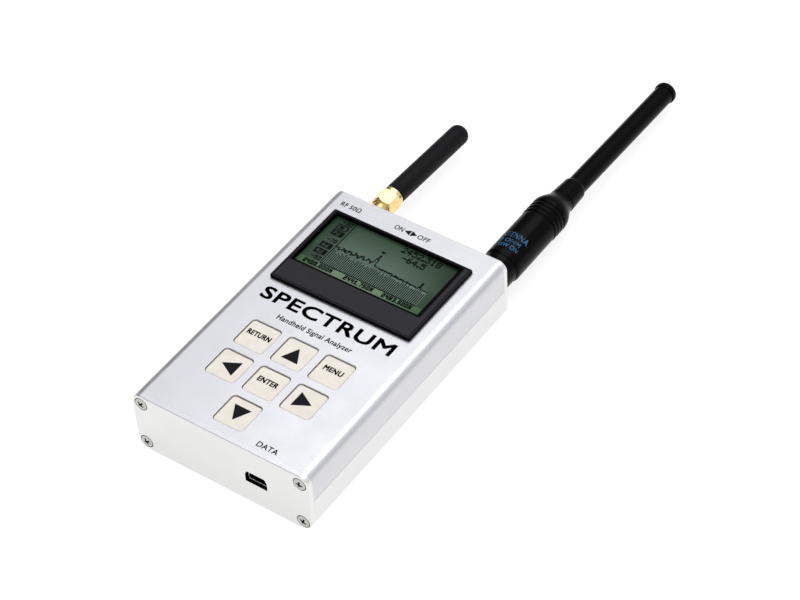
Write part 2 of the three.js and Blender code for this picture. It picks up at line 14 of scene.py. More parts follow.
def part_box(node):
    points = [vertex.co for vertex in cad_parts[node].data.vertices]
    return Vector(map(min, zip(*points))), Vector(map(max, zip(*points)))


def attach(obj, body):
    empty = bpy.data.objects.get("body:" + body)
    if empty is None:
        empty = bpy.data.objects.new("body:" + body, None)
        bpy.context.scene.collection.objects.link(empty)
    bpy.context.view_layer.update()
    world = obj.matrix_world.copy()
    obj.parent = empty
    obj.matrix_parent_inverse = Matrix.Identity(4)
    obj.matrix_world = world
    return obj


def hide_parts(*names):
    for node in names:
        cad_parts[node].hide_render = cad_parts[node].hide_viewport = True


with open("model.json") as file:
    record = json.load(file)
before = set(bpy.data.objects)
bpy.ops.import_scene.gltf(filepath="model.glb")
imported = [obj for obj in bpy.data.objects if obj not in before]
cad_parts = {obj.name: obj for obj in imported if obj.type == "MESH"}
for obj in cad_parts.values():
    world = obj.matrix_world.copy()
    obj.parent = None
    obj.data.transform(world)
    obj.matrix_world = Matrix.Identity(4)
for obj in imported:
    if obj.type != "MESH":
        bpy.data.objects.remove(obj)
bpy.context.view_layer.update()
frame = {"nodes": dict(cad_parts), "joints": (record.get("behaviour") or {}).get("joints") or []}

MM = 0.001
TURN = 2 * math.pi
NOISE_RANGE = (0.3, 0.7)  # where most of a noise's values lie

# ---- driving values ----

# The camera stands back from a point near the middle of the object and looks down at it.
CAMERA = {
    "target": (6.95, 33.32, 12.5),
    "distance": 872.3,
    "azimuth": 37.2,
    "elevation": 45.19,
    "roll": -3.63,
    "lens": 116.94,
}

TOP_RADIUS = 3.5
BACK_RADIUS = 5
WALL = 1.6
SEAM_GAP = 0.12
KEY_RADIUS = 1.5
HOLE_LIP = 0.16
PRINT_THICKNESS = 0.012
PLATE_EDGE = 0.3

SEAM_HEIGHT = 13.3
KEY_FLANGE_MARGIN = 0.8
CAP_GAP = 0.22
CLOSED = 0.02  # the radius at which a turned piece is closed on its axis

# The display is a grid of dots, counted from its lower left corner: the pitch across and up, the
# margins outside the grid, and how far the dots of each kind spread over their cells.
DISPLAY = {"pitch": (0.352, 0.372), "left": 2.55, "bottom": 2.75}
DOT_SPREAD = {"bar": 0.06, "line": 0.08, "text": 0.2}
AXIS_COLUMN = 17
LAST_COLUMN = 127
FLOOR_ROW = 6
GRAPH_ROW = 25
LAST_ROW = 64

# The hexagons of the antenna nuts: radius at the corners, and the angle of one corner.
NUT_CORNER = 4.62
NUT_TURN = 46

# The rubber whip: the grooves' distances and the dome's length are counted from its far end.
WHIP = {"radius": 3.85, "stem": 3.3, "grooves": (8.3, 5.4), "dome": 3.2}

# The right antenna's base: radii, the collar's length from the near end, and the lengths from the far
# end of the waist and of the shoulder before it. The ribs start at a distance from the near end.
BASE = {"radius": 6.98, "collar": 6.45, "waist": 4.65, "collar_length": 6.0, "waist_length": 0.2,
        "shoulder": 8.1}
RIBS = {"first": 29.5, "pitch": 1.95, "count": 4, "depth": 0.5, "crest": 7.1}

# Five-row letters for the small numbers on the display, and seven-row ones for the large.
SMALL_GLYPHS = {
    "0": "### #.# #.# #.# ###",
    "1": ".#. ##. .#. .#. ###",
    "2": "### ..# ### #.. ###",
    "3": "### ..# .## ..# ###",
    "4": "#.# #.# ### ..# ..#",
    "5": "### #.. ### ..# ###",
    "7": "### ..# ..# .#. .#.",
    "8": "### #.# ### #.# ###",
    "9": "### #.# ### ..# ###",
    "-": "... ... ### ... ...",
    ".": ". . . . #",
    "M": "#.# ### ### #.# #.#",
    "A": ".#. #.# ### #.# #.#",
    "P": "### #.# ### #.. #..",
    "d": "..# ..# ### #.# ###",
}
LARGE_GLYPHS = {
    "1": "..#.. .##.. ..#.. ..#.. ..#.. ..#.. .###.",
    "2": ".###. #...# ....# ...#. ..#.. .#... #####",
    "3": "##### ...#. ..#.. ...#. ....# #...# .###.",
    "4": "...#. ..##. .#.#. #..#. ##### ...#. ...#.",
    "5": "##### #.... ####. ....# ....# #...# .###.",
    "6": "..##. .#... #.... ####. #...# #...# .###.",
    "8": ".###. #...# #...# .###. #...# #...# .###.",
    "-": "..... ..... ..... ##### ..... ..... .....",
    ".": ".. .. .. .. .. ## ##",
}

# The corners of a square, for shapes with four sides.
CORNERS = ((-1, -1), (1, -1), (1, 1), (-1, 1))


def span(node):
    """Lowest and highest corner of a CAD node, in millimetres."""
    low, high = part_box(node)
    return low / MM, high / MM


def middle(node):
    low, high = span(node)
    return (low + high) / 2


def plan(node):
    """The (x, y) ranges of a CAD node."""
    low, high = span(node)
    return (low.x, high.x), (low.y, high.y)


def grown(limits, amount):
    """A (low, high) pair made longer at both ends."""
    return limits[0] - amount, limits[1] + amount


def around(centre, half):
    """The (low, high) pair at equal distances from a centre."""
    return centre - half, centre + half


# ---- materials ----


def feed(tree, node, inputs):
    """Give input sockets their values, or link the outputs given for them."""
    for socket, value in inputs.items():
        if isinstance(value, bpy.types.NodeSocket):
            tree.links.new(value, node.inputs[socket])
        else:
            node.inputs[socket].default_value = value


def add_node(tree, kind, output, inputs, **settings):
    """An output of a new shader node."""
    node = tree.nodes.new(f"ShaderNode{kind}")
    for name, value in settings.items():
        setattr(node, name, value)
    feed(tree, node, inputs)
    return node.outputs[output]


def stretched(tree, value, source, target=(0, 1), curve="LINEAR"):
    """A value whose (low, high) range is stretched to another range."""
    limits = dict(zip(("From Min", "From Max", "To Min", "To Max"), (*source, *target)))
    return add_node(tree, "MapRange", "Result", {"Value": value, **limits}, interpolation_type=curve)


class Finish:
    """A principled material that grows its procedural detail node by node."""

    def __init__(self, name, colour, roughness, metallic=0.0, specular=0.5, coat=0.0):
        self.material = bpy.data.materials.new(name)
        self.material.use_nodes = True
        self.tree = self.material.node_tree
        self.place = self.add("TexCoord", "Object", {})
        self.colour = colour
        self.normal = None
        self.set({
            "Base Color": (*colour, 1), "Roughness": roughness, "Metallic": metallic,
            "Specular IOR Level": specular, "Coat Weight": coat,
        })

    def set(self, inputs):
        """Set or link sockets of the principled shader."""
        feed(self.tree, self.tree.nodes["Principled BSDF"], inputs)

    def add(self, kind, output, inputs, **settings):
        return add_node(self.tree, kind, output, inputs, **settings)

    def noise(self, grain, detail=3.0, stretch=(1, 1, 1)):
        """A noise whose grain is about the given size in millimetres."""
        vector = self.add("Mapping", "Vector", {"Vector": self.place, "Scale": stretch})
        return self.add("TexNoise", "Fac", {"Vector": vector, "Scale": 1 / (grain * MM), "Detail": detail})

    def ramp(self, factor, stops):
        """A colour ramp; the stops are (position, colour)."""
        ramp = self.tree.nodes.new("ShaderNodeValToRGB")
        elements = ramp.color_ramp.elements
        while len(elements) < len(stops):
            elements.new(0.5)
        for element, (position, colour) in zip(elements, stops):
            element.position = position
            element.color = (*colour, 1)
        self.tree.links.new(factor, ramp.inputs["Fac"])
        return ramp.outputs["Color"]

    def ramp_along(self, axis, start, end, stops):
        """A colour ramp between two places on an axis, in millimetres."""
        value = self.add("SeparateXYZ", axis, {"Vector": self.place})
        return self.ramp(stretched(self.tree, value, (start * MM, end * MM)), stops)

    def vary_colour(self, grain, amount, detail=3.0, stretch=(1, 1, 1)):
        dark = [c * (1 - amount) for c in self.colour]
        light = [min(1, c * (1 + amount)) for c in self.colour]
        factor = self.noise(grain, detail, stretch)
        self.set({"Base Color": self.ramp(factor, list(zip(NOISE_RANGE, (dark, light))))})

    def vary_roughness(self, grain, low, high):
        self.set({"Roughness": stretched(self.tree, self.noise(grain, 4.0), NOISE_RANGE, (low, high))})

    def bump(self, grain, depth, strength=1.0, detail=2.0, stretch=(1, 1, 1)):
        """Relief of the given depth in millimetres; calls add up."""
        height = self.noise(grain, detail, stretch)
        inputs = {"Strength": strength, "Distance": depth * MM, "Height": height}
        if self.normal:
            inputs["Normal"] = self.normal
        self.normal = self.add("Bump", "Normal", inputs)
        self.set({"Normal": self.normal})
        return self


def anodised(name, colour):
    """Bead-blasted, clear-anodised aluminium."""
    finish = Finish(name, colour, 0.42, 0.92)
    finish.vary_colour(0.35, 0.035, 5.0)
    finish.vary_roughness(9, 0.37, 0.46)
    return finish.bump(0.22, 0.006).bump(1.2, 0.006, 0.4)


def edge_shaded_plate_finish(name, colour, edge_shade_colour):
    """Anodised aluminium with painted shade along its upper edge, darkening it to the tone of the case's
    top face.
    """
    finish = anodised(name, colour)
    top = span("near_end_plate")[1].z
    shade = finish.ramp_along("Z", top - 0.25, top - 0.05, [(0, colour), (1, edge_shade_colour)])
    finish.set({"Base Color": shade})
    return finish


def plain_plastic(name, colour, roughness, specular=0.5, grain=0.4, depth=0.004):
    finish = Finish(name, colour, roughness, specular=specular)
    finish.vary_colour(4, 0.05)
    finish.vary_roughness(3, roughness * 0.88, roughness * 1.12)
    return finish.bump(grain, depth)


def polished_metal(name, colour, roughness):
    finish = Finish(name, colour, roughness, 1.0)
    finish.vary_colour(2.5, 0.04)
    finish.vary_roughness(1.5, roughness * 0.75, roughness * 1.3)
    return finish.bump(0.5, 0.002, 0.5)


def circuit_board(name):
    """Solder mask over faint copper tracks."""
    finish = Finish(name, (0.012, 0.09, 0.035), 0.35, coat=0.4)
    finish.vary_colour(1.1, 0.35, 1.0, (1, 0.12, 1))
    finish.vary_roughness(2, 0.28, 0.42)
    return finish.bump(1.1, 0.02, 0.6, 1.0, (1, 0.12, 1))


def display_green(name):
    """Grey-green liquid-crystal glass, lighter along its near edge and darker towards both sides and its
    far edge; the darkening at the left side and the far edge is painted shade from the frame's walls.
    """
    finish = Finish(name, (0.07, 0.13, 0.08), 0.25, specular=0.12)
    x, y = plan("lcd_panel")
    green, full, dim = (0.07, 0.105, 0.074), (1, 1, 1), (0.34, 0.48, 0.34)
    # Painted shade: the rows darken towards the far edge and the columns towards the left side, where the
    # frame's walls shade the glass.
    rows = finish.ramp_along("Y", *y, [
        (0.18, (0.14, 0.22, 0.13)), (0.2, green), (0.4, green), (0.5, (0.09, 0.135, 0.098)),
        (0.95, (0.03, 0.062, 0.031)),
    ])
    columns = finish.ramp_along("X", *x, [
        (0.02, dim), (0.12, (0.5, 0.57, 0.5)), (0.22, full), (0.6, full), (0.82, (0.66, 0.74, 0.66)),
        (0.93, dim),
    ])
    colour = finish.add("Mix", "Result", {"Factor": 1, "A": rows, "B": columns},
                        data_type="RGBA", blend_type="MULTIPLY")
    finish.set({"Base Color": colour})
    finish.vary_roughness(6, 0.2, 0.32)
    return finish.bump(0.369, 0.001, 0.3)


upper_aluminium = anodised("upper_aluminium", (0.655, 0.655, 0.665))
lower_aluminium = anodised("lower_aluminium", (0.77, 0.77, 0.755))
# The end plates' upper edges carry painted shade.
plate_aluminium = edge_shaded_plate_finish("plate_aluminium", (0.8, 0.8, 0.78), (0.67, 0.67, 0.68))
screw_steel = polished_metal("screw_steel", (0.52, 0.51, 0.48), 0.2)
# A lighter black, painted light for the display frame's top face and a painted highlight along its rim.
lit_frame_black = plain_plastic("lit_frame_black", (0.018, 0.0165, 0.02), 0.4, 0.15)
# Near-black for the display frame's body and for the pieces of painted shadow: in the screws' gaps, at the
# display's opening and round the data socket.
deep_black = plain_plastic("deep_black", (0.0015, 0.0015, 0.002), 0.4, 0.03)
key_cream = plain_plastic("key_cream", (0.85, 0.79, 0.685), 0.48, 0.3, 0.3, 0.006)
print_black = plain_plastic("print_black", (0.007, 0.006, 0.008), 0.5, 0.08)
print_blue = plain_plastic("print_blue", (0.038, 0.14, 0.26), 0.4, 0.2)
lcd_green = display_green("lcd_green")
lcd_light = plain_plastic("lcd_light", (0.125, 0.185, 0.137), 0.35, 0.12)
lcd_dot = plain_plastic("lcd_dot", (0.003, 0.006, 0.003), 0.5, 0.05)
guide_white = plain_plastic("guide_white", (0.8, 0.86, 0.78), 0.4)
board_green = circuit_board("board_green")
switch_black = plain_plastic("switch_black", (0.008, 0.008, 0.009), 0.45, 0.2)
tin_plate = polished_metal("tin_plate", (0.82, 0.82, 0.8), 0.3)
gold_plate = polished_metal("gold_plate", (0.93, 0.71, 0.33), 0.25)
cell_wrap = plain_plastic("cell_wrap", (0.3, 0.33, 0.37), 0.45)
red_lead = plain_plastic("red_lead", (0.45, 0.02, 0.02), 0.4)
plug_white = plain_plastic("plug_white", (0.8, 0.78, 0.7), 0.45)
whip_rubber = plain_plastic("whip_rubber", (0.0055, 0.005, 0.0055), 0.5, 0.1, 0.25, 0.01)
gloss_black = plain_plastic("gloss_black", (0.0012, 0.0011, 0.0012), 0.22, 0.06, 0.9, 0.002)
chrome = polished_metal("chrome", (0.72, 0.72, 0.74), 0.1)


# ---- meshes ----


def new_mesh(points, faces):
    """A mesh whose points are given in millimetres and kept in metres, with its faces pointing out."""
    mesh = bpy.data.meshes.new("mesh")
    mesh.from_pydata([Vector(p) * MM for p in points], [], faces)
    work = bmesh.new()
    work.from_mesh(mesh)
    bmesh.ops.remove_doubles(work, verts=work.verts, dist=1e-7)
    bmesh.ops.recalc_face_normals(work, faces=work.faces)
    work.to_mesh(mesh)
    work.free()
    return mesh


def joined(meshes):
    """Several meshes as one."""
    work = bmesh.new()
    for mesh in meshes:
        work.from_mesh(mesh)
    mesh = bpy.data.meshes.new("joined")
    work.to_mesh(mesh)
    work.free()
    return mesh


def linked(name, mesh):
    thing = bpy.data.objects.new(name, mesh)
    bpy.context.scene.collection.objects.link(thing)
    return thing


def evaluated_mesh(thing):
    """The thing's mesh with its modifiers applied; the thing goes."""
    graph = bpy.context.evaluated_depsgraph_get()
    mesh = bpy.data.meshes.new_from_object(thing.evaluated_get(graph))
    bpy.data.objects.remove(thing)
    return mesh


def cut(mesh, tools, operation="DIFFERENCE"):
    """The mesh with each tool mesh cut out of it, or joined to it."""
    thing = linked("work", mesh)
    tool_things = [linked("tool", tool) for tool in tools]
    for tool in tool_things:
        boolean = thing.modifiers.new("cut", "BOOLEAN")
        boolean.object = tool
        boolean.operation = operation
        boolean.solver = "EXACT"
    result = evaluated_mesh(thing)
    for tool in tool_things:
        bpy.data.objects.remove(tool)
    return result


def piece(name, mesh, body, finish, replaces=(), sharp=28):
    """A visible piece that rides on a body, smooth except at its real edges."""
    mesh.shade_smooth()
    mesh.set_sharp_from_angle(angle=math.radians(sharp))
    thing = linked(name, mesh)
    mesh.materials.clear()
    mesh.materials.append(finish.material)
    weighted = thing.modifiers.new("even_faces", "WEIGHTED_NORMAL")
    weighted.keep_sharp = True
    weighted.weight = 80
    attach(thing, body)
    if replaces:
        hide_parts(*replaces)
    return thing


def stand_in(node, mesh, body, finish, sharp=28):
    """The visible piece in the place of one CAD node."""
    piece(f"{node}_visual", mesh, body, finish, [node], sharp)


def loft(rings, close="caps"):
    """Faces between rings of equal length; the ends are capped, or the last ring meets the first."""
    count = len(rings[0])
    points = [p for ring in rings for p in ring]
    pairs = list(zip(range(len(rings) - 1), range(1, len(rings))))
    if close == "loop":
        pairs.append((len(rings) - 1, 0))
    faces = []
    for low, high in pairs:
        for i in range(count):
            j = (i + 1) % count
            faces.append((low * count + i, low * count + j, high * count + j, high * count + i))
    if close == "caps":
        faces.append(tuple(range(count)))
        faces.append(tuple((len(rings) - 1) * count + i for i in range(count)))
    return new_mesh(points, faces)


def arc(centre, radius, start, end, steps):
    """Points on an arc, angles in degrees."""
    angles = [math.radians(start + (end - start) * i / steps) for i in range(steps + 1)]
    return [(centre[0] + radius * math.cos(a), centre[1] + radius * math.sin(a)) for a in angles]


def quarter_round(steps):
    """A quarter circle in steps as (inward, upward), from (0, 0) to (1, 1)."""
    angles = [math.pi / 2 * i / steps for i in range(steps + 1)]
    return [(1 - math.cos(angle), math.sin(angle)) for angle in angles]


def rounded_rectangle(x, y, low, high=None, steps=8):
    """A closed outline; low and high are the radii of the low-y and the high-y corners."""
    (x0, x1), (y0, y1) = x, y
    high = low if high is None else high
    return [
        *arc((x1 - low, y0 + low), low, -90, 0, steps),
        *arc((x1 - high, y1 - high), high, 0, 90, steps),
        *arc((x0 + high, y1 - high), high, 90, 180, steps),
        *arc((x0 + low, y0 + low), low, 180, 270, steps),
    ]


def plan_rings(x, y, radius, stations):
    """A rounded rectangle drawn in plan at each (height, inset); the inset pulls it in."""
    rings = []
    for z, inset in stations:
        corner = max(radius - inset, 0.02)
        outline = rounded_rectangle(grown(x, -inset), grown(y, -inset), corner)
        rings.append([(u, v, z) for u, v in outline])
    return rings


def at_y(outline, y):
    """An (x, z) outline placed at y."""
    return [(x, y, z) for x, z in outline]


def along_y(outline, y0, y1):
    """An (x, z) outline as a bar from y0 to y1."""
    return loft([at_y(outline, y) for y in (y0, y1)])


def softened(points, steps=5):
    """A profile of (a, b, size) with each corner rounded over its size by a smooth curve."""
    result = []
    for i, (a, b, size) in enumerate(points):
        here = Vector((a, b))
        if size == 0 or i in (0, len(points) - 1):
            result.append(tuple(here))
            continue
        before = Vector(points[i - 1][:2]) - here
        after = Vector(points[i + 1][:2]) - here
        start = here + before.normalized() * min(size, before.length / 2)
        end = here + after.normalized() * min(size, after.length / 2)
        for step in range(steps + 1):
            t = step / steps
            result.append(tuple(start * (1 - t) ** 2 + here * 2 * t * (1 - t) + end * t**2))
    return result


def flat_ring(x, y, inset, hole_x, hole_y, bottom, top):
    """A flat rectangular ring between an outline, pulled in by inset, and a hole."""
    outside = plan_rings(x, y, 0.7, [(bottom, inset), (top, inset)])
    inside = plan_rings(hole_x, hole_y, 0.4, [(top, 0), (bottom, 0)])
    return loft(outside + inside, "loop")


class Axis:
    """A straight line through a point that round pieces are turned about."""

    def __init__(self, point, direction=(0, 1, 0)):
        self.point = Vector(point)
        self.along = Vector(direction).normalized()
        self.side = self.along.cross(Vector((0, 0, 1))).normalized()
        self.up = self.side.cross(self.along)

    def at(self, radius, distance, angle):
        round_part = self.side * math.cos(angle) + self.up * math.sin(angle)
        return tuple(self.point + self.along * distance + round_part * radius)

    def ring(self, radius, distance, sides):
        """A ring; radius is a number or a function of the angle."""
        angles = [TURN * i / sides for i in range(sides)]
        size = radius if callable(radius) else lambda angle: radius
        return [self.at(size(a), distance, a) for a in angles]


def turned(axis, profile, sides=72, close="loop"):
    """A round piece; the profile is (radius, distance) and closes on itself or is capped at its ends."""
    return loft([axis.ring(radius, y, sides) for radius, y in profile], close)


def line_through(node):
    """The axis of a round CAD node from the middles of its two end rings, and its length."""
    points = [v.co / MM for v in frame["nodes"][node].data.vertices]
    low = min(p.y for p in points)
    high = max(p.y for p in points)
    end_depth = 0.5
    near = [p for p in points if p.y < low + end_depth]
    far = [p for p in points if p.y > high - end_depth]
    start = sum(near, Vector()) / len(near)
    end = sum(far, Vector()) / len(far)
    return Axis(start, end - start), (end - start).length


def lettering(text, x, y, z, width, height, weight):
    """Thin printed words centred on (x, y), with their underside at height z.

    The weight makes the strokes bolder by that many millimetres, with copies set a little apart.
    """
    curve = bpy.data.curves.new("words", "FONT")
    curve.body = text
    curve.resolution_u = 4
    curve.space_character = 1.06
    curve.extrude = 0.5
    mesh = evaluated_mesh(linked("words", curve))
    xs = [v.co.x for v in mesh.vertices]
    ys = [v.co.y for v in mesh.vertices]
    across = (width - weight) / (max(xs) - min(xs))
    upright = (height - weight) / (max(ys) - min(ys))
    middle_x, middle_y = (max(xs) + min(xs)) / 2, (max(ys) + min(ys)) / 2
    copies = []
    for aside, ahead in CORNERS:
        copy = mesh.copy()
        for v in copy.vertices:
            v.co = (
                (x + (v.co.x - middle_x) * across + aside * weight / 2) * MM,
                (y + (v.co.y - middle_y) * upright + ahead * weight / 2) * MM,
                (z + (v.co.z + curve.extrude) * PRINT_THICKNESS) * MM,
            )
        copies.append(copy)
    return joined(copies)


def flat_shape(outline, z):
    """A thin printed shape with the given outline in plan."""
    return loft([[(u, v, height) for u, v in outline] for height in (z, z + PRINT_THICKNESS)])


def triangle(x, y, length, width, direction):
    """An arrow head's outline in plan, pointing in a direction, with slightly blunt corners."""
    ahead = Vector(direction) * length / 2
    aside = Vector((-direction[1], direction[0])) * width / 2
    here = Vector((x, y))
    corners = [here + ahead, here - ahead + aside, here - ahead - aside]
    blunt = 0.12
    outline = []
    for i, corner in enumerate(corners):
        for other in (corners[i - 1], corners[(i + 1) % 3]):
            outline.append(corner + (other - corner).normalized() * blunt)
    return outline


# ---- case ----

case_corner = span("upper_shell")[1]
HALF_WIDTH = case_corner.x
TOP = case_corner.z
plate_low, plate_high = span("near_end_plate")
SHELL_HALF_LENGTH = -plate_high.y - 0.02
SEAM = span("lower_shell")[0].z + SEAM_HEIGHT
SEAM_CHAMFER = 0.1
INNER_X = HALF_WIDTH - WALL


def upper_section():
    """The upper half's wall: its rounded outside, then its inside."""
    foot = SEAM + SEAM_GAP
    corner_z = TOP - TOP_RADIUS
    inner_radius = TOP_RADIUS - WALL
    return [
        (HALF_WIDTH - SEAM_CHAMFER, foot),
        (HALF_WIDTH, foot + SEAM_CHAMFER),
        *arc((HALF_WIDTH - TOP_RADIUS, corner_z), TOP_RADIUS, 0, 90, 20),
        *arc((TOP_RADIUS - HALF_WIDTH, corner_z), TOP_RADIUS, 90, 180, 20),
        (-HALF_WIDTH, foot + SEAM_CHAMFER),
        (SEAM_CHAMFER - HALF_WIDTH, foot),
        (-INNER_X, foot),
        *arc((inner_radius - INNER_X, corner_z), inner_radius, 180, 90, 6),
        *arc((INNER_X - inner_radius, corner_z), inner_radius, 90, 0, 6),
        (INNER_X, foot),
    ]


def lower_section():
    """The lower half's wall, with the lip that stands up inside the upper half."""
    lip_out, lip_in, lip_top = INNER_X - 0.2, INNER_X - 1.1, SEAM + 1.5
    inner_radius = BACK_RADIUS - WALL
    right = [
        *arc((INNER_X - inner_radius, BACK_RADIUS), inner_radius, -90, 0, 8),
        (INNER_X, SEAM - 2.6),
        (lip_in, SEAM - 1.3),
        (lip_in, lip_top),
        (lip_out, lip_top),
        (lip_out, SEAM),
        (HALF_WIDTH - SEAM_CHAMFER, SEAM),
        (HALF_WIDTH, SEAM - SEAM_CHAMFER),
        *arc((HALF_WIDTH - BACK_RADIUS, BACK_RADIUS), BACK_RADIUS, 0, -90, 20),
    ]
    return right + [(-x, z) for x, z in reversed(right)]


def flared_cutter(x, y, radius, lip, bottom, top):
    """A rounded-rectangle hole cutter whose mouth opens in a small round lip at the surface."""
    stations = [(bottom, 0)]
    stations += [(top - lip + lip * upward, -lip * outward) for outward, upward in quarter_round(4)]
    return loft(plan_rings(x, y, radius, [*stations, (top + 1, -lip)]))


KEYS = {
    "key_return": ("return_key", "RETURN"),
    "key_up": ("up_key", (0, 1)),
    "key_menu": ("menu_key", "MENU"),
    "key_left": ("left_key", (-1, 0)),
    "key_enter": ("enter_key", "ENTER"),
    "key_right": ("right_key", (1, 0)),
    "key_down": ("down_key", (0, -1)),
}
LEGEND_WIDTHS = {"RETURN": 9.2, "MENU": 7.4, "ENTER": 7.9}


def key_hole(node):
    """The (x, y) ranges of the hole in the face round a key."""
    x, y = plan(node)
    return grown(x, -KEY_FLANGE_MARGIN), grown(y, -KEY_FLANGE_MARGIN)


def build_case():
    bottom = TOP - WALL - 1
    holes = [flared_cutter(*key_hole(node), KEY_RADIUS, HOLE_LIP, bottom, TOP) for node in KEYS]
    neck_low, neck_high = span("display_bezel")
    frame_x = (neck_low.x + 0.35, neck_high.x - 0.35)
    frame_y = (neck_low.y + 0.35, neck_high.y - 0.2)
    holes.append(loft(plan_rings(frame_x, frame_y, 1, [(bottom, 0), (TOP + 1, 0)])))
    upper = cut(along_y(upper_section(), -SHELL_HALF_LENGTH, SHELL_HALF_LENGTH), holes)
    stand_in("upper_shell", upper, "case", upper_aluminium)
    lower = along_y(lower_section(), -SHELL_HALF_LENGTH, SHELL_HALF_LENGTH)
    stand_in("lower_shell", lower, "case", lower_aluminium)


def plate_outline(inset):
    """The case's outside as (x, z), pulled in by inset."""
    edge = HALF_WIDTH - inset
    return rounded_rectangle(
        (-edge, edge), (inset, TOP - inset), BACK_RADIUS - inset, TOP_RADIUS - inset, 16
    )


def plate_blank(end, name):
    """An end plate with a softly broken outer edge; end is -1 for the near one and 1 for the far one."""
    low, high = span(name)
    face, back = (low.y, high.y) if end < 0 else (high.y, low.y)
    stations = [(0, back)]
    for inward, outward in quarter_round(4):
        stations.append((PLATE_EDGE * inward, face - end * PLATE_EDGE * (1 - outward)))
    return loft([at_y(plate_outline(inset), y) for inset, y in stations])


def countersink(node, end, face):
    """The cutter for a screw's head and shank, sunk from the plate's face."""
    low, high = span(node)
    centre = (low + high) / 2
    head = (high.x - low.x) / 2
    shank = head * 0.66
    profile = ((head + 0.32, -1), (head + 0.32, 0), (head + 0.12, 0.25), (shank, 1.35), (shank, 3))
    axis = Axis((centre.x, face, centre.z))
    return turned(axis, [(radius, -end * depth) for radius, depth in profile], 40, "caps")


def socket_outline(margin):
    """The mini data socket's outline, with its upper corners cut and all corners softened."""
    low, high = span("data_socket")
    x0, x1 = low.x - margin, high.x + margin
    z0, z1 = low.z - margin, high.z + margin
    middle_x = (x0 + x1) / 2
    slant, step, corner = 0.8, 1.6, 0.3
    half = softened([
        (middle_x, z0, 0), (x1, z0, corner), (x1, z1 - step, corner), (x1 - slant, z1, corner),
        (middle_x, z1, 0),
    ])
    return half[:-1] + [(x0 + x1 - x, z) for x, z in reversed(half)][:-1]


def far_openings():
    """The (x, z) outlines of the slider's slot and the two jacks' holes."""
    switch_low, switch_high = span("power_switch_body")
    reach = (switch_high.x - switch_low.x) / 2 - 1.85
    slot_x = around((switch_low.x + switch_high.x) / 2, reach)
    outlines = [rounded_rectangle(slot_x, around(middle("power_switch_slider").z, 1.6), 0.3)]
    sides = 48
    for side in ("left", "right"):
        jack = middle(f"{side}_antenna_jack")
        outlines.append(arc((jack.x, jack.z), 3.4, 0, 360 - 360 / sides, sides - 1))
    return outlines


def build_end_plates():
    for end, side in ((-1, "near"), (1, "far")):
        plate = f"{side}_end_plate"
        low, high = span(plate)
        tools = [countersink(f"{side}_screw_{i}", end, low.y if end < 0 else high.y) for i in range(1, 5)]
        outlines = [socket_outline(0.5)] if end < 0 else far_openings()
        tools += [along_y(outline, low.y - 1, high.y + 1) for outline in outlines]
        stand_in(plate, cut(plate_blank(end, plate), tools), "case", plate_aluminium)


def cross_bars(axis, turn, stations):
    """The two tapered bars of a cross recess; the stations are (depth, half length, half width)."""
    bars = []
    for arm in range(2):
        angle = math.radians(turn + 90 * arm)
        across = axis.side * math.cos(angle) + axis.up * math.sin(angle)
        aside = axis.along.cross(across)
        rings = []
        for depth, reach, half in stations:
            here = axis.point + axis.along * depth
            rings.append([tuple(here + across * a * reach + aside * b * half) for a, b in CORNERS])
        bars.append(loft(rings))
    return bars


def screw(node, end, turn):
    """A countersunk screw with a low dome and a tapered cross recess, and painted shadow in its gaps."""
    low, high = span(node)
    centre = (low + high) / 2
    head = (high.x - low.x) / 2
    crown, tip = (low.y, high.y) if end < 0 else (high.y, low.y)
    axis = Axis((centre.x, crown, centre.z), (0, -end, 0))
    length = abs(tip - crown)
    dome, shank = 0.33, head * 0.53
    steps = 6
    profile = [(CLOSED, 0)]
    for i in range(1, steps + 1):
        share = i / steps
        profile.append((head * share, dome * (1 - math.cos(share * math.pi / 2))))
    profile += softened([
        (head, dome + 0.02, 0), (head, dome + 0.12, 0.08), (shank, dome + 1.25, 0.1),
        (shank, length - 0.8, 0.1), (0.5, length, 0), (CLOSED, length, 0),
    ])
    recess = ((-0.5, 1.5, 0.38), (0.1, 1.38, 0.35), (1.0, 0.75, 0.22), (1.25, 0.2, 0.12))
    body = cut(turned(axis, profile, 48, "caps"), cross_bars(axis, turn, recess))
    stand_in(node, body, "case", screw_steel)
    # Painted shadow: a dark ring in the gap round the head and dark bars down the cross recess.
    inner, outer, bottom, top = head + 0.02, head + 0.3, 0.4, 0.22 + dome / 2
    gap = turned(axis, [(inner, bottom), (outer, bottom), (outer, top), (inner, top)], 48)
    shadows = cross_bars(axis, turn, ((0.3, 1.3, 0.34), (0.9, 0.9, 0.26)))
    piece(f"{node}_shadow", joined([*shadows, gap]), "case", deep_black)


def build_screws():
    for number in range(1, 5):
        screw(f"near_screw_{number}", -1, 10 + 37 * number)
        screw(f"far_screw_{number}", 1, 25 + 29 * number)


# ---- display ----


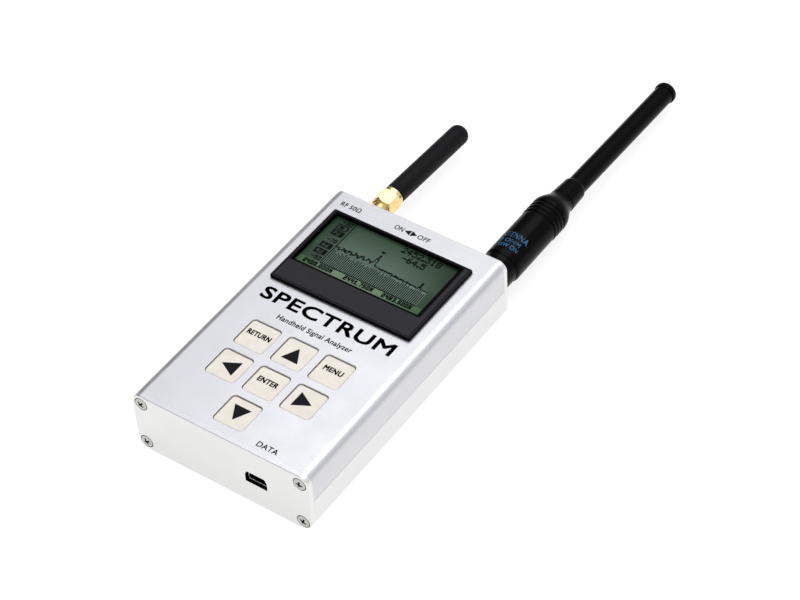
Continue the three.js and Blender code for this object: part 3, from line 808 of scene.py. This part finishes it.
def build_display_frame():
    low, high = span("display_bezel")
    x, y = plan("display_bezel")
    opening_x, opening_y = (x[0] + 1.75, x[1] - 3.1), (y[0] + 10.2, y[1] - 1.2)
    glass_top = span("lcd_panel")[1].z
    pocket_z = glass_top + 0.08
    foot = TOP + 0.01
    rings = plan_rings(x, y, 0.7, [
        (foot, 0.12), (TOP + 0.13, 0), (high.z - 0.35, 0), (high.z - 0.1, 0.12), (high.z - 0.04, 0.22),
    ])
    mouth = [(high.z - 0.04, -0.04), (high.z - 0.14, 0), (pocket_z, 0)]
    rings += plan_rings(opening_x, opening_y, 0.5, mouth)
    rings += plan_rings(*plan("lcd_panel"), 0.4, [(pocket_z, -0.15), (low.z, -0.15)])
    rings += plan_rings(x, y, 0.8, [(low.z, 0.6), (foot, 0.6)])
    body = loft(rings, "loop")
    piece("display_frame", body, "case", deep_black, ["display_bezel"], 20)
    # Painted light: a lighter black sheet on the flat top stands for the light on it, and a thin ridge of
    # it near the outer edge is a painted rim highlight; the body's deeper black stands for the walls in
    # shade.
    face_x, face_y = grown(opening_x, 0.5), (opening_y[0] - 0.5, opening_y[1] + 0.2)
    lit_sheet_z = high.z - 0.05
    lit_sheet = flat_ring(x, y, 0.95, face_x, face_y, lit_sheet_z, high.z)
    rim_highlight = flat_ring(x, y, 0.25, grown(x, -0.6), grown(y, -0.6), lit_sheet_z, high.z - 0.01)
    piece("display_frame_lit_face", joined([lit_sheet, rim_highlight]), "case", lit_frame_black)
    # Painted shadow under the frame's rim: a thin dark strip on the glass, wide along the opening's right
    # and near edges.
    rim_shadow_x, rim_shadow_y = (opening_x[0] + 0.1, opening_x[1] - 1.6), (opening_y[0] + 1.35, opening_y[1] - 0.1)
    rim_shadow = flat_ring(opening_x, opening_y, 0.03, rim_shadow_x, rim_shadow_y, glass_top - 0.01, glass_top + 0.3)
    piece("display_rim_shadow", rim_shadow, "case", deep_black)


class Screen:
    """The display's dots that are switched on, as (column, row) from the lower left."""

    def __init__(self):
        self.dots = set()

    def fill(self, columns, rows):
        self.dots |= {(c, r) for c in range(*columns) for r in range(*rows)}

    def frame(self, columns, rows):
        self.fill(columns, (rows[0], rows[0] + 1))
        self.fill(columns, (rows[1] - 1, rows[1]))
        self.fill((columns[0], columns[0] + 1), rows)
        self.fill((columns[1] - 1, columns[1]), rows)

    def write(self, text, column, row, glyphs):
        """Text whose lower left dot is at (column, row)."""
        for letter in text:
            lines = glyphs[letter].split()
            for up, line in enumerate(reversed(lines)):
                self.dots |= {(column + i, row + up) for i, mark in enumerate(line) if mark == "#"}
            column += len(lines[0]) + 1

    def write_in_box(self, text, columns, rows):
        """Light text on a filled box."""
        self.fill(columns, rows)
        word = Screen()
        word.write(text, columns[0] + 2, rows[0] + 1, SMALL_GLYPHS)
        self.dots -= word.dots

    def mesh(self, origin, z, spread):
        """Every dot as a thin tile, larger than its cell by the spread; a column's neighbours join."""
        across, upright = DISPLAY["pitch"]
        points, faces = [], []
        for column, row in sorted(self.dots):
            if (column, row - 1) in self.dots:
                continue
            top = row + 1
            while (column, top) in self.dots:
                top += 1
            x0, y0 = origin[0] + column * across, origin[1] + row * upright
            x1, y1 = x0 + across + spread, origin[1] + top * upright + spread
            first = len(points)
            for height in (z, z + PRINT_THICKNESS):
                points += [(x0, y0, height), (x1, y0, height), (x1, y1, height), (x0, y1, height)]
            quads = [(0, 1, 2, 3), (4, 5, 6, 7), (0, 1, 5, 4), (1, 2, 6, 5), (2, 3, 7, 6), (3, 0, 4, 7)]
            faces += [tuple(first + corner for corner in quad) for quad in quads]
        return new_mesh(points, faces)


def trace_height(column):
    """The measured trace's height in dots above the floor of the graph."""
    rough = 1.5 * math.sin(column * 0.9) + 1.1 * math.sin(column * 2.3 + 1) + 0.5 * math.sin(column * 4.1)
    peak = 9 * math.exp(-(((column - 44) / 1.2) ** 2))
    spur = 7 * math.exp(-(((column - 99) / 0.8) ** 2))
    if column < 46:
        return round(23.5 + rough + 0.04 * column + peak)
    return round(22.2 - 0.055 * (column - 46) + 0.3 * rough + peak + spur)


def bar_height(column):
    """A bar's height in dots: a floor of noise that falls slowly to the right."""
    return round(19.5 - 0.02 * column + 0.8 * math.sin(column * 1.7) + 0.7 * math.sin(column * 0.37 + 2))


def draw_bars():
    """A bar in every other column under the trace."""
    screen = Screen()
    for column in range(AXIS_COLUMN + 2, LAST_COLUMN, 2):
        top = FLOOR_ROW + bar_height(column - AXIS_COLUMN)
        screen.fill((column, column + 1), (FLOOR_ROW, top))
    return screen


def draw_lines():
    """The graph's axes, the trace and its marker, and the symbols at the left."""
    screen = Screen()
    screen.fill((AXIS_COLUMN, AXIS_COLUMN + 1), (FLOOR_ROW, LAST_ROW + 1))
    screen.fill((AXIS_COLUMN, LAST_COLUMN + 1), (FLOOR_ROW, FLOOR_ROW + 1))
    for column in range(AXIS_COLUMN + 1, LAST_COLUMN):
        ends = [trace_height(column - AXIS_COLUMN - back) for back in (0, 1)]
        screen.fill((column, column + 1), (FLOOR_ROW + min(ends), FLOOR_ROW + max(ends) + 1))
    marker_column, marker_row = 61, 45
    for i in range(3):
        screen.fill((marker_column - i, marker_column + i + 1), (marker_row + i, marker_row + i + 1))
    for row, label in ((58, "-20"), (33, "-70"), (8, "-90")):
        screen.write(label, 4, row, SMALL_GLYPHS)
    screen.frame((2, 14), (50, 57))
    for columns in ((14, 15), (5, 10)):
        screen.fill(columns, (52, 55))
    for row, label in ((42, "Pd"), (24, "Ad"), (15, "Md")):
        screen.write_in_box(label, (2, 15), (row, row + 7))
    return screen


def draw_text():
    """The numbers over and under the graph."""
    screen = Screen()
    screen.write("2452.318", 74, 56, LARGE_GLYPHS)
    screen.write("-64.5", 80, 47, LARGE_GLYPHS)
    for column, label in ((1, "2400.000M"), (48, "2441.750M"), (92, "2483.500M")):
        screen.write(label, column, 0, SMALL_GLYPHS)
    return screen


def build_display():
    low, high = span("lcd_panel")
    levels = [(low.z, 0.1), (low.z + 0.1, 0), (high.z - 0.12, 0), (high.z - 0.02, 0.1)]
    glass = loft(plan_rings(*plan("lcd_panel"), 0.3, levels))
    stand_in("lcd_panel", glass, "case", lcd_green)
    left, bottom = low.x + DISPLAY["left"], low.y + DISPLAY["bottom"]
    across, upright = DISPLAY["pitch"]
    corners = ((AXIS_COLUMN, FLOOR_ROW), (LAST_COLUMN, FLOOR_ROW), (LAST_COLUMN, GRAPH_ROW),
               (AXIS_COLUMN, GRAPH_ROW))
    graph = [(left + column * across, bottom + row * upright) for column, row in corners]
    piece("lcd_graph", flat_shape(graph, high.z - 0.026), "case", lcd_light)
    for name, screen in (("bar", draw_bars()), ("line", draw_lines()), ("text", draw_text())):
        dots = screen.mesh((left, bottom), high.z - 0.02, DOT_SPREAD[name])
        piece(f"lcd_{name}_dots", dots, "case", lcd_dot)


# ---- keys ----


def key_cap(node):
    """A cap with a softly rounded rim and a barely domed face, on its retaining flange."""
    low, high = span(node)
    centre = (low + high) / 2
    x, y = (grown(limits, -CAP_GAP) for limits in key_hole(node))
    flange_z = (high.z - 2.3, high.z - 1.5)
    rings = plan_rings(around(centre.x, 2), around(centre.y, 2), 0.4, [(low.z, 0), (flange_z[0], 0)])
    rings += plan_rings(*plan(node), KEY_RADIUS, [(z, 0) for z in flange_z])
    rim, dome = 0.32, 0.05
    cap = [(flange_z[1], 0)]
    cap += [(high.z - dome - rim + rim * upward, rim * inward) for inward, upward in quarter_round(5)]
    half = (x[1] - x[0]) / 2
    for share in (0.25, 0.5, 0.75, 0.95):
        cap.append((high.z - dome * (1 - share) ** 2, rim + (half - rim) * share))
    return loft(rings + plan_rings(x, y, KEY_RADIUS - CAP_GAP, cap))


def build_keys():
    for node, (body, legend) in KEYS.items():
        piece(f"{node}_cap", key_cap(node), body, key_cream, [node], 40)
        centre = middle(node)
        surface = span(node)[1].z - 0.004
        if isinstance(legend, str):
            width = LEGEND_WIDTHS[legend]
            mesh = lettering(legend, centre.x, centre.y + 0.9, surface, width, 2.25, 0.22)
        else:
            mesh = flat_shape(triangle(centre.x, centre.y, 6.1, 6.6, legend), surface)
        piece(f"{node}_legend", mesh, body, print_black)


def build_face_print():
    """Plain generic legends on the face."""
    surface = TOP - 0.002
    switch_y = 51.45
    words = [
        ("RF 50Ω", -25.0, 51.3, 8.1, 2.2, 0.1),
        ("ON", -5.1, switch_y, 3.6, 2.1, 0.08),
        ("OFF", 4.85, switch_y, 4.8, 2.1, 0.08),
        ("DATA", 16.4, -52.2, 8.0, 2.2, 0.1),
        ("SPECTRUM", -0.3, 3.1, 52.5, 5.8, 0.42),
        ("Handheld Signal Analyzer", -0.4, -4.4, 29.8, 2.9, 0.12),
    ]
    for text, x, y, width, height, weight in words:
        name = "print_" + text.split()[0].lower()
        piece(name, lettering(text, x, y, surface, width, height, weight), "case", print_black)
    for end, x, direction in (("on", -1.75, (-1, 0)), ("off", 0.95, (1, 0))):
        arrow = flat_shape(triangle(x, switch_y, 2.4, 2.5, direction), surface)
        piece(f"print_arrow_{end}", arrow, "case", print_black)


# ---- data socket ----


def socket_sleeve(stations):
    """A closed sleeve that follows the socket's outline; the stations are (margin, y)."""
    return loft([at_y(socket_outline(margin), y) for margin, y in stations], "loop")


def build_socket():
    low, high = span("data_socket")
    centre = (low + high) / 2
    front, back = low.y, high.y
    floor = back - 1
    shell = socket_sleeve([
        (0, back), (0, front + 0.05), (-0.05, front), (-0.3, front), (-0.35, front + 0.06),
        (-0.35, floor), (-1.7, floor), (-1.7, back),
    ])
    piece("data_socket_shell", shell, "case", tin_plate, ["data_socket"])
    tongue = rounded_rectangle(around(centre.x, 2.3), (centre.z - 0.35, centre.z + 0.5), 0.15)
    piece("data_socket_tongue", along_y(tongue, front + 1.2, back - 0.9), "case", switch_black)
    contacts = []
    for i in range(5):
        contact_x = around(centre.x + (i - 2) * 0.8, 0.15)
        strip = rounded_rectangle(contact_x, (centre.z - 0.42, centre.z - 0.3), 0.04)
        contacts.append(along_y(strip, front + 1.5, floor))
    piece("data_socket_contacts", joined(contacts), "case", gold_plate)
    lip, mouth, inner_end, outer_end = front + 0.12, plate_low.y + 0.06, floor - 0.01, front + 0.5
    # Painted shade: dark sleeves blacken the inside of the socket's mouth, the walls of the plate's hole
    # round it and the gap between them.
    inner_shade = [(-0.36, inner_end), (-0.36, lip), (-0.5, lip), (-0.5, inner_end)]
    mouth_shade = [(0.48, outer_end), (0.48, mouth), (0.4, mouth), (0.4, lip), (0.02, lip), (0.02, outer_end)]
    for name, stations in (("inner_shade", inner_shade), ("mouth_shade", mouth_shade)):
        piece(f"data_socket_{name}", socket_sleeve(stations), "case", deep_black)


# ---- power slider ----


def build_slider():
    low, high = span("power_switch_slider")
    centre = (low + high) / 2
    base_end = low.y + 2.1
    base_outline = rounded_rectangle((low.x, high.x), around(centre.z, 0.95), 0.1)
    base = along_y(base_outline, low.y, base_end)
    rings = []
    for inset, y in [(0, base_end - 0.3), (0, high.y - 0.3), (0.08, high.y - 0.1), (0.3, high.y)]:
        knob_x = grown(around(centre.x, 1.5), -inset)
        rings.append(at_y(rounded_rectangle(knob_x, grown((low.z, high.z), -inset), 0.25), y))
    knob = cut(loft(rings), [base], "UNION")
    grooves = []
    for i in range(3):
        x = centre.x + (i - 1) * 0.8
        outline = [(x - 0.16, 0), (x, -0.2), (x + 0.16, 0), (x, 0.3)]
        grooves.append(loft([[(u, high.y + v, z) for u, v in outline] for z in (low.z - 1, high.z + 1)]))
    piece("power_slider_knob", cut(knob, grooves), "power_slider", switch_black,
          ["power_switch_slider"])


# ---- antenna jacks and nuts ----


def threaded(axis, radius, start, end, bore, bore_end):
    """A barrel with a real screw thread from start to end and a blind bore from its free end."""
    pitch, depth, fade = 0.7, 0.22, 0.8
    sides, steps_per_turn = 60, 8
    rings = [axis.ring(r, y, sides) for r, y in ((CLOSED, bore_end), (bore, bore_end), (bore, end))]
    rows = round((end - start) / pitch * steps_per_turn)
    for row in range(rows, -1, -1):
        y = start + (end - start) * row / rows
        edge = min(1, (end - y) / fade)

        def size(angle, y=y, edge=edge):
            phase = (y / pitch - angle / TURN) % 1
            crest = abs(2 * phase - 1)
            return radius - depth * (1 - crest * edge) - (0.1 if edge == 0 else 0)

        rings.append(axis.ring(size, y, sides))
    foot = start - 1.2
    rings += [axis.ring(r, y, sides) for r, y in ((radius, start - 0.2), (radius, foot), (CLOSED, foot))]
    return loft(rings)


def hex_nut(axis, start, end, bore, chamfer):
    """A hexagonal nut; the turned chamfers at both ends leave arcs on its flats."""
    sides, steps = 120, 12
    flat = NUT_CORNER * math.cos(math.pi / 6)
    depths = [i / steps * chamfer for i in range(steps + 1)]
    rings = []
    for y in [start + depth for depth in depths] + [end - depth for depth in reversed(depths)]:
        from_end = min(y - start, end - y)
        cone = flat - 0.15 + (NUT_CORNER - flat + 0.2) * min(1, from_end / chamfer)

        def size(angle, cone=cone):
            part = (angle - math.radians(NUT_TURN)) % (math.pi / 3)
            return min(flat / math.cos(part - math.pi / 6), cone)

        rings.append(axis.ring(size, y, sides))
    inside = ((end, bore + 0.3), (end - 0.3, bore), (start + 0.3, bore), (start, bore + 0.3))
    rings += [axis.ring(radius, y, sides) for y, radius in inside]
    return loft(rings, "loop")


def build_jacks():
    plate_face = span("far_end_plate")[1].y
    barrel_bore, nut_bore = 2.3, 3.35
    for side in ("left", "right"):
        low, high = span(f"{side}_antenna_jack")
        centre = (low + high) / 2
        axis = Axis((centre.x, 0, centre.z))
        inner, outer, root = low.y + 2.8, low.y + 4.4, plate_face + 0.2
        flange = turned(axis, [(CLOSED, low.y), (0.4, low.y), (0.4, inner), (4.15, inner), (4.15, outer),
                               (3.08, outer), (3.08, root), (CLOSED, root)], 60, "caps")
        barrel = threaded(axis, 3.1, plate_face + 1.5, high.y, barrel_bore, high.y - 3.4)
        piece(f"{side}_jack_visual", joined([flange, barrel]), "case", gold_plate,
              [f"{side}_antenna_jack"], 40)
        nut_low, nut_high = span(f"{side}_jack_nut")
        seat, top = nut_low.y, nut_low.y + 0.6
        washer = turned(axis, [(nut_bore, seat), (4.85, seat), (4.9, seat + 0.08), (4.9, top - 0.1),
                               (4.82, top), (nut_bore, top)], 60)
        nut = hex_nut(axis, top, nut_high.y, nut_bore, 0.45)
        stand_in(f"{side}_jack_nut", joined([washer, nut]), "case", gold_plate)


def build_left_nut():
    """The gold coupling nut with its round collar."""
    low, high = span("left_coupling_nut")
    jack = middle("left_antenna_jack")
    axis = Axis((jack.x, 0, jack.z))
    hex_end, inside = high.y - 1.4, 3.1
    hexagonal = hex_nut(axis, low.y, hex_end, 3.42, 0.9)
    root = hex_end - 0.3
    collar = turned(axis, softened([
        (inside, root, 0), (3.95, root, 0), (4.0, hex_end + 0.4, 0.2), (4.1, high.y - 0.35, 0.15),
        (3.9, high.y, 0.15), (inside, high.y, 0),
    ]))
    stand_in("left_coupling_nut", joined([hexagonal, collar]), "left_nut", gold_plate)


def build_rubber_whip():
    """The moulded whip with two shallow grooves and a domed end."""
    axis, length = line_through("left_whip")
    radius, root, dome = WHIP["radius"], WHIP["stem"], WHIP["dome"]
    profile = [(CLOSED, 0, 0), (2.3, 0, 0), (2.3, root, 0), (radius - 0.15, root, 0)]
    profile.append((radius, root + 0.2, 0.1))
    for from_end in WHIP["grooves"]:
        place = length - from_end
        profile += [(radius, place - 0.35, 0.1), (radius - 0.18, place, 0.15), (radius, place + 0.35, 0.1)]
    shape = softened([*profile, (radius, length - dome, 0)])[:-1]
    for inward, ahead in quarter_round(12):
        shape.append((max(radius * (1 - inward), CLOSED), length - dome * (1 - ahead)))
    stand_in("left_whip", turned(axis, shape, 72, "caps"), "case", whip_rubber)


# ---- right antenna ----


def gloss_piece(node, mesh, body):
    stand_in(node, mesh, body, gloss_black, 40)


def base_axis():
    """The right antenna base's axis from its near end, and its length."""
    low, high = span("right_antenna_base")
    centre = (low + high) / 2
    return Axis((centre.x, low.y, centre.z)), high.y - low.y


def build_right_antenna():
    """A collar, a plain barrel, a row of grooves, and a shoulder that falls in an S to the neck."""
    axis, length = base_axis()
    radius, collar, waist, crest = BASE["radius"], BASE["collar"], BASE["waist"], RIBS["crest"]
    bore, bore_end, spigot_bore, spigot_start = 4.75, 16.8, 2.9, 35.8
    barrel = BASE["collar_length"]
    slim = radius - 0.05
    profile = [
        (bore, bore_end, 0), (bore, 0.3, 0.1), (bore + 0.2, 0, 0), (collar - 0.25, 0, 0.1),
        (collar, 0.3, 0.15), (collar, barrel, 0.1), (radius - 0.35, barrel, 0.1),
        (radius, barrel + 0.9, 0.7), (slim, RIBS["first"] - 1.2, 0),
    ]
    for i in range(RIBS["count"]):
        y = RIBS["first"] + i * RIBS["pitch"]
        ahead = crest if i else slim
        profile += [(ahead, y - 0.55, 0.25), (crest - RIBS["depth"], y, 0.3), (crest, y + 0.55, 0.25)]
    shoulder, fall_end = length - BASE["shoulder"], length - BASE["waist_length"]
    shape = softened([*profile, (crest, shoulder, 0)])
    steps = 24
    for i in range(1, steps + 1):
        fall = (1 - math.cos(math.pi * i / steps)) / 2
        shape.append((crest + (waist - crest) * fall, shoulder + (fall_end - shoulder) * i / steps))
    shape += [(waist, length), (spigot_bore, length), (spigot_bore, spigot_start)]
    shape += [(CLOSED, spigot_start), (CLOSED, bore_end)]
    gloss_piece("right_antenna_base", turned(axis, shape, 96), "right_antenna")


def tube_axis():
    """The telescopic whip's axis, starting level with the sleeve's near end."""
    slide = next(j for j in frame["joints"] if j["name"] == "section_1_slide")
    direction = Vector(slide["axis"]).normalized()
    low, high = span("right_antenna_sleeve")
    centre = (low + high) / 2
    half = (high.y - low.y) / 2
    return Axis(centre - direction * half, direction), 2 * half


def build_whip():
    """The neck, the outer tube, four sections that slide one in another, and the tip's cap."""
    axis, length = tube_axis()

    def ends(node):
        """Distances along the axis of a node's near and far end."""
        return [(corner.y - axis.point.y) / axis.along.y for corner in span(node)]

    near, far = ends("right_antenna_neck")
    rim, start = -2.1, -0.05
    neck = softened([
        (CLOSED, near, 0), (2.1, near, 0), (2.1, rim, 0), (4.6, rim, 0), (4.75, rim + 0.2, 0.1),
        (4.38, far - 1.6, 0.3), (4.1, far - 0.9, 0.2), (3.75, far - 0.8, 0), (3.75, start, 0),
        (CLOSED, start, 0),
    ])
    gloss_piece("right_antenna_neck", turned(axis, neck, 72, "caps"), "right_antenna")
    sleeve = [(3.15, 0), (3.6, 0), (3.7, 0.1), (3.7, length - 0.15), (3.6, length), (3.2, length),
              (3.15, length - 0.1)]
    gloss_piece("right_antenna_sleeve", turned(axis, sleeve), "right_antenna")
    for i, (outer, inner) in enumerate([(2.85, 2.5), (2.25, 1.9), (1.65, 1.3), (1.05, CLOSED)], 1):
        near, far = ends(f"whip_section_{i}")
        first, last = near + 0.1, far - 0.1
        waist = outer - 0.12
        section = softened([
            (inner, first, 0), (outer - 0.1, first, 0), (outer, first + 0.12, 0.05),
            (outer, last - 1.4, 0.1), (waist, last - 1.15, 0.1), (waist, last - 0.5, 0.1),
            (outer, last - 0.3, 0.1), (outer - 0.1, last, 0), (inner, last, 0),
        ])
        mesh = turned(axis, section, 64)
        stand_in(f"whip_section_{i}", mesh, f"section_{i}", chrome, 40)
    near, far = ends("whip_tip_cap")
    floor = near + 1.2
    cap = softened([
        (1.35, floor, 0), (1.35, near, 0), (3.95, near, 0.1), (4.13, near + 0.2, 0.15),
        (4.13, near + 1.6, 0.4), (3.7, near + 2.4, 0.5), (2.6, far - 0.25, 0.7),
        (CLOSED, far - 0.02, 0), (CLOSED, floor, 0),
    ], 8)
    gloss_piece("whip_tip_cap", turned(axis, cap), "section_4")


def wrapped(mesh, axis, radius, turn):
    """A flat mesh in plan bent round an axis: x runs round it and y along it, from turn in degrees."""
    work = bmesh.new()
    work.from_mesh(mesh)
    bmesh.ops.triangulate(work, faces=work.faces)
    for v in work.verts:
        angle = math.radians(turn) - (v.co.x / MM) / radius
        v.co = Vector(axis.at(radius + v.co.z / MM, v.co.y / MM, angle)) * MM
    bmesh.ops.recalc_face_normals(work, faces=work.faces)
    work.to_mesh(mesh)
    work.free()
    return mesh


def build_antenna_print():
    """Generic blue words round the right antenna's base."""
    axis = base_axis()[0]
    edge = BASE["collar_length"]
    middle_angle = 99
    meshes = []
    for text, y, width, height in (("ANTENNA", 9.8, 12.6, 2.5), ("50 OHM", 6.7, 9.8, 1.9),
                                   ("SCREW ON", 4.2, 11, 1.8)):
        words = lettering(text, 0, edge + y, -0.004, width, height, 0.06)
        meshes.append(wrapped(words, axis, BASE["radius"], middle_angle))
    piece("antenna_print", joined(meshes), "right_antenna", print_blue)


# ---- carried-over pieces ----

CARRIED = {
    "lcd_backlight": guide_white,
    "key_board": board_green,
    "main_board": board_green,
    "board_header": switch_black,
    "rf_shield_left": tin_plate,
    "rf_shield_right": tin_plate,
    "battery_pack": cell_wrap,
    "battery_plug": plug_white,
    "battery_lead": red_lead,
    "power_switch_body": tin_plate,
    "right_antenna_connector": gold_plate,
}


def dress_carried():
    """New finishes for the pieces that keep their CAD meshes."""
    for node, thing in frame["nodes"].items():
        finish = CARRIED.get(node)
        if node.startswith("switch_"):
            finish = switch_black
        if node.startswith("board_spacer"):
            finish = screw_steel
        if finish:
            for material_slot in thing.material_slots:
                material_slot.material = finish.material


# ---- stage ----


def build_floor():
    """White paper that glows a little, just under the object."""
    half, height = 6000, -0.05
    floor = linked("floor", new_mesh([(half * a, half * b, height) for a, b in CORNERS], [(0, 1, 2, 3)]))
    paper = Finish("floor_paper", (0.3, 0.3, 0.3), 0.9, specular=0.1)
    paper.set({"Emission Color": (1, 1, 1, 1), "Emission Strength": 0.82})
    paper.vary_colour(60, 0.01)
    floor.data.materials.append(paper.material)


def build_overhead_light():
    """One large soft panel high above the antennas, aimed at the case."""
    place, target = Vector((-40, 300, 900)), Vector((0, 20, 0))
    data = bpy.data.lights.new("overhead", "AREA")
    data.shape = "RECTANGLE"
    data.size = data.size_y = 900 * MM
    data.energy = 4.75
    data.color = (0.965, 0.97, 1)
    light = linked("overhead", data)
    light.location = place * MM
    light.rotation_mode = "QUATERNION"
    light.rotation_quaternion = (target - place).to_track_quat("-Z", "Y")


def build_sky():
    """Soft surroundings: darker towards the horizon and the left, lighter overhead."""
    world = bpy.data.worlds.new("studio")
    world.use_nodes = True
    tree = world.node_tree
    place = add_node(tree, "TexCoord", "Generated", {})
    fades = []
    for axis, source, target in (("Z", (0.0, 0.6), (0.62, 0.88)), ("X", (-0.95, 0.0), (0.12, 0.97))):
        value = add_node(tree, "SeparateXYZ", axis, {"Vector": place})
        fades.append(stretched(tree, value, source, target, "SMOOTHSTEP"))
    strength = add_node(tree, "Math", "Value", {0: fades[0], 1: fades[1]}, operation="MULTIPLY")
    feed(tree, tree.nodes["Background"], {"Color": (0.935, 0.945, 1.0, 1), "Strength": strength})
    bpy.context.scene.world = world


def build_camera():
    data = bpy.data.cameras.new("camera")
    data.lens = CAMERA["lens"]
    data.sensor_width = 36
    data.clip_start = 0.01
    data.clip_end = 20
    camera = linked("camera", data)
    azimuth, elevation = math.radians(CAMERA["azimuth"]), math.radians(CAMERA["elevation"])
    back = Vector((
        math.sin(azimuth) * math.cos(elevation),
        -math.cos(azimuth) * math.cos(elevation),
        math.sin(elevation),
    ))
    camera.location = (Vector(CAMERA["target"]) + back * CAMERA["distance"]) * MM
    camera.rotation_mode = "QUATERNION"
    level = (-back).to_track_quat("-Z", "Y")
    camera.rotation_quaternion = level @ Quaternion((0, 0, 1), math.radians(CAMERA["roll"]))
    bpy.context.scene.camera = camera


build_camera()
build_floor()
build_sky()
build_overhead_light()
bpy.context.scene.view_settings.view_transform = "Standard"

build_case()
build_end_plates()
build_screws()
build_display_frame()
build_display()
build_keys()
build_face_print()
build_socket()
build_slider()
build_jacks()
build_left_nut()
build_rubber_whip()
build_right_antenna()
build_whip()
build_antenna_print()
dress_carried()
